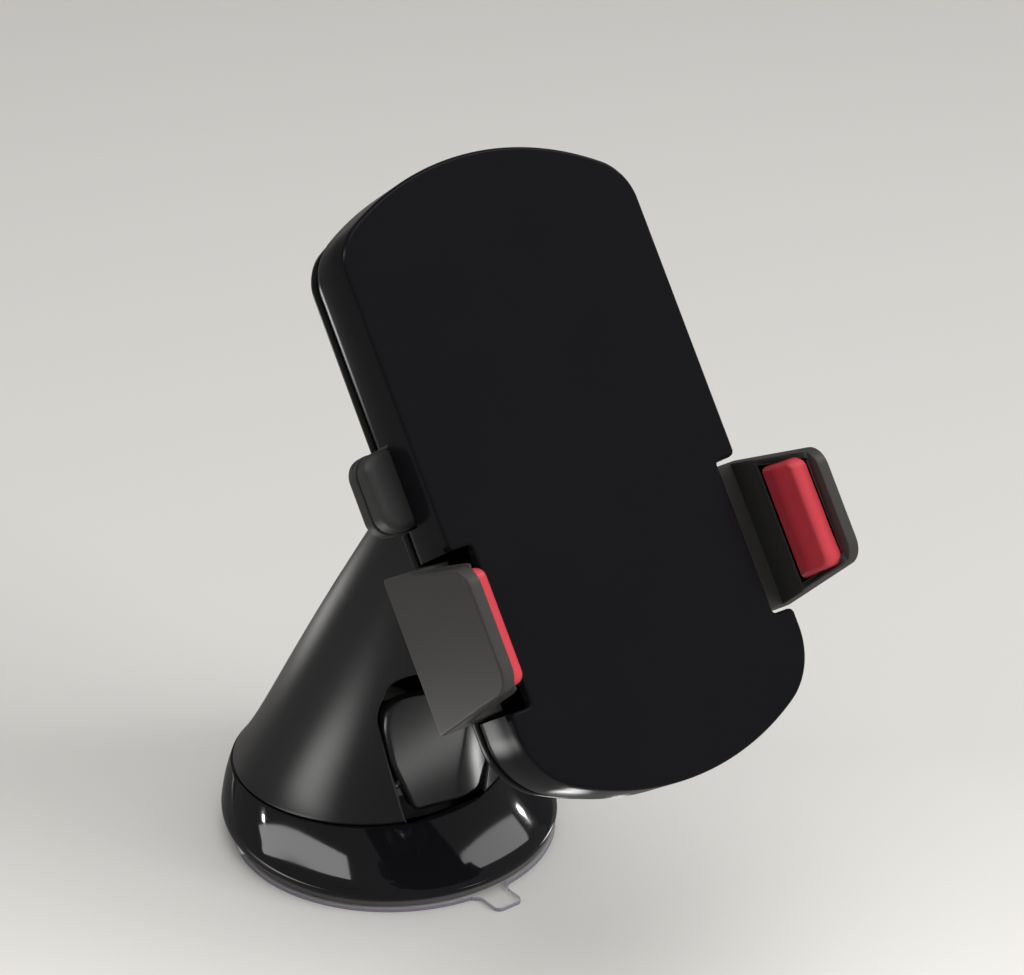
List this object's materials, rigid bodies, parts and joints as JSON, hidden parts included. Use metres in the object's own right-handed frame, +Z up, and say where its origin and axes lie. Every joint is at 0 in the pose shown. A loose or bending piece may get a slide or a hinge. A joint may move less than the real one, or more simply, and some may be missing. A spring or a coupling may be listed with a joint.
{
  "type": "phone_holder",
  "caption": "Suction cup phone holder with a leaning tower, lever-locked suction base, ball joint and a cradle with two padded jaws that close on the phone's sides",
  "frame": {"origin": "on the table under the centre of the gel pad", "axes": "+Z up; the lever, the pull tab and the cradle face -Y; +X is to the right seen from the front"},
  "size_m": [0.082, 0.1349, 0.1566],
  "materials": {
    "gel": "clear tacky gel",
    "cup": "semi-matte dark grey",
    "gloss": "piano black",
    "satin": "satin black",
    "matte": "matte dark grey",
    "button": "fine matte texture",
    "nylon": "natural",
    "steel": "plain",
    "coral": "coral red, smooth"
  },
  "bodies": {
    "base": {"gel_pad": "gel", "suction_cup": "cup", "base_ring": "gloss", "mounting_plate": "nylon", "base_screws": "steel", "tower_shell": "satin", "lever_pin": "steel"},
    "lever": {"lever": "satin"},
    "plunger": {"cup_stem": "nylon", "pull_yoke": "steel", "stem_nut": "steel"},
    "stud": {"ball_stud": "steel"},
    "collar": {"collar_nut": "satin"},
    "cradle": {"rear_cover": "gloss", "front_cover": "gloss", "cover_screws": "steel", "pinion_axle": "steel", "opening_spring": "steel", "pawl_pin": "steel"},
    "left_grip": {"left_jaw": "matte", "left_pad": "coral"},
    "right_grip": {"right_jaw": "matte", "right_pad": "coral"},
    "gear": {"pinion": "nylon"},
    "button": {"release_button": "button", "button_spring": "steel"},
    "pawl": {"latch_pawl": "steel"}
  },
  "joints": [
    {"name": "lever_turn", "type": "hinge", "parent": "base", "child": "lever", "pos_m": [0, -0.0155, 0.021], "axis": [1, 0, 0], "range_deg": [0, 70]},
    {"name": "stem_slide", "type": "slide", "parent": "base", "child": "plunger", "axis": [0, 0, 1], "range_m": [-0.0016, 0], "deforming": ["suction_cup"]},
    {"name": "ball_pan", "type": "hinge", "parent": "base", "child": "stud", "pos_m": [0, -0.03397, 0.09417], "axis": [0, -0.7071, 0.7071], "continuous": true},
    {"name": "ball_tilt", "type": "hinge", "parent": "stud", "child": "collar", "pos_m": [0, -0.03397, 0.09417], "axis": [1, 0, 0], "range_deg": [-40, 20]},
    {"name": "cradle_spin", "type": "hinge", "parent": "collar", "child": "cradle", "pos_m": [0, -0.03397, 0.09417], "axis": [0, -0.8161, 0.5779], "continuous": true},
    {"name": "left_jaw_slide", "type": "slide", "parent": "cradle", "child": "left_grip", "axis": [1, 0, 0], "range_m": [-0.007, 0.008]},
    {"name": "right_jaw_slide", "type": "slide", "parent": "cradle", "child": "right_grip", "axis": [-1, 0, 0], "range_m": [-0.007, 0.008]},
    {"name": "pinion_spin", "type": "hinge", "parent": "cradle", "child": "gear", "pos_m": [0, -0.06727, 0.08331], "axis": [0, -0.8161, 0.5779], "range_deg": [-76.5, 67]},
    {"name": "button_press", "type": "slide", "parent": "cradle", "child": "button", "axis": [1, 0, 0], "range_m": [0, 0.0025], "stiffness_N_per_m": 300, "springref_m": -0.002},
    {"name": "pawl_turn", "type": "hinge", "parent": "cradle", "child": "pawl", "pos_m": [-0.0095, -0.05398, 0.10208], "axis": [0, -0.8161, 0.5779], "range_deg": [-23, 0]}
  ],
  "couplings": [
    {"joint": "lever_turn", "follows": "stem_slide", "rad_per_m": -763.58},
    {"joint": "right_jaw_slide", "follows": "left_jaw_slide", "ratio": 1},
    {"joint": "pinion_spin", "follows": "left_jaw_slide", "rad_per_m": -166.67},
    {"joint": "pawl_turn", "follows": "button_press", "rad_per_m": -160}
  ]
}
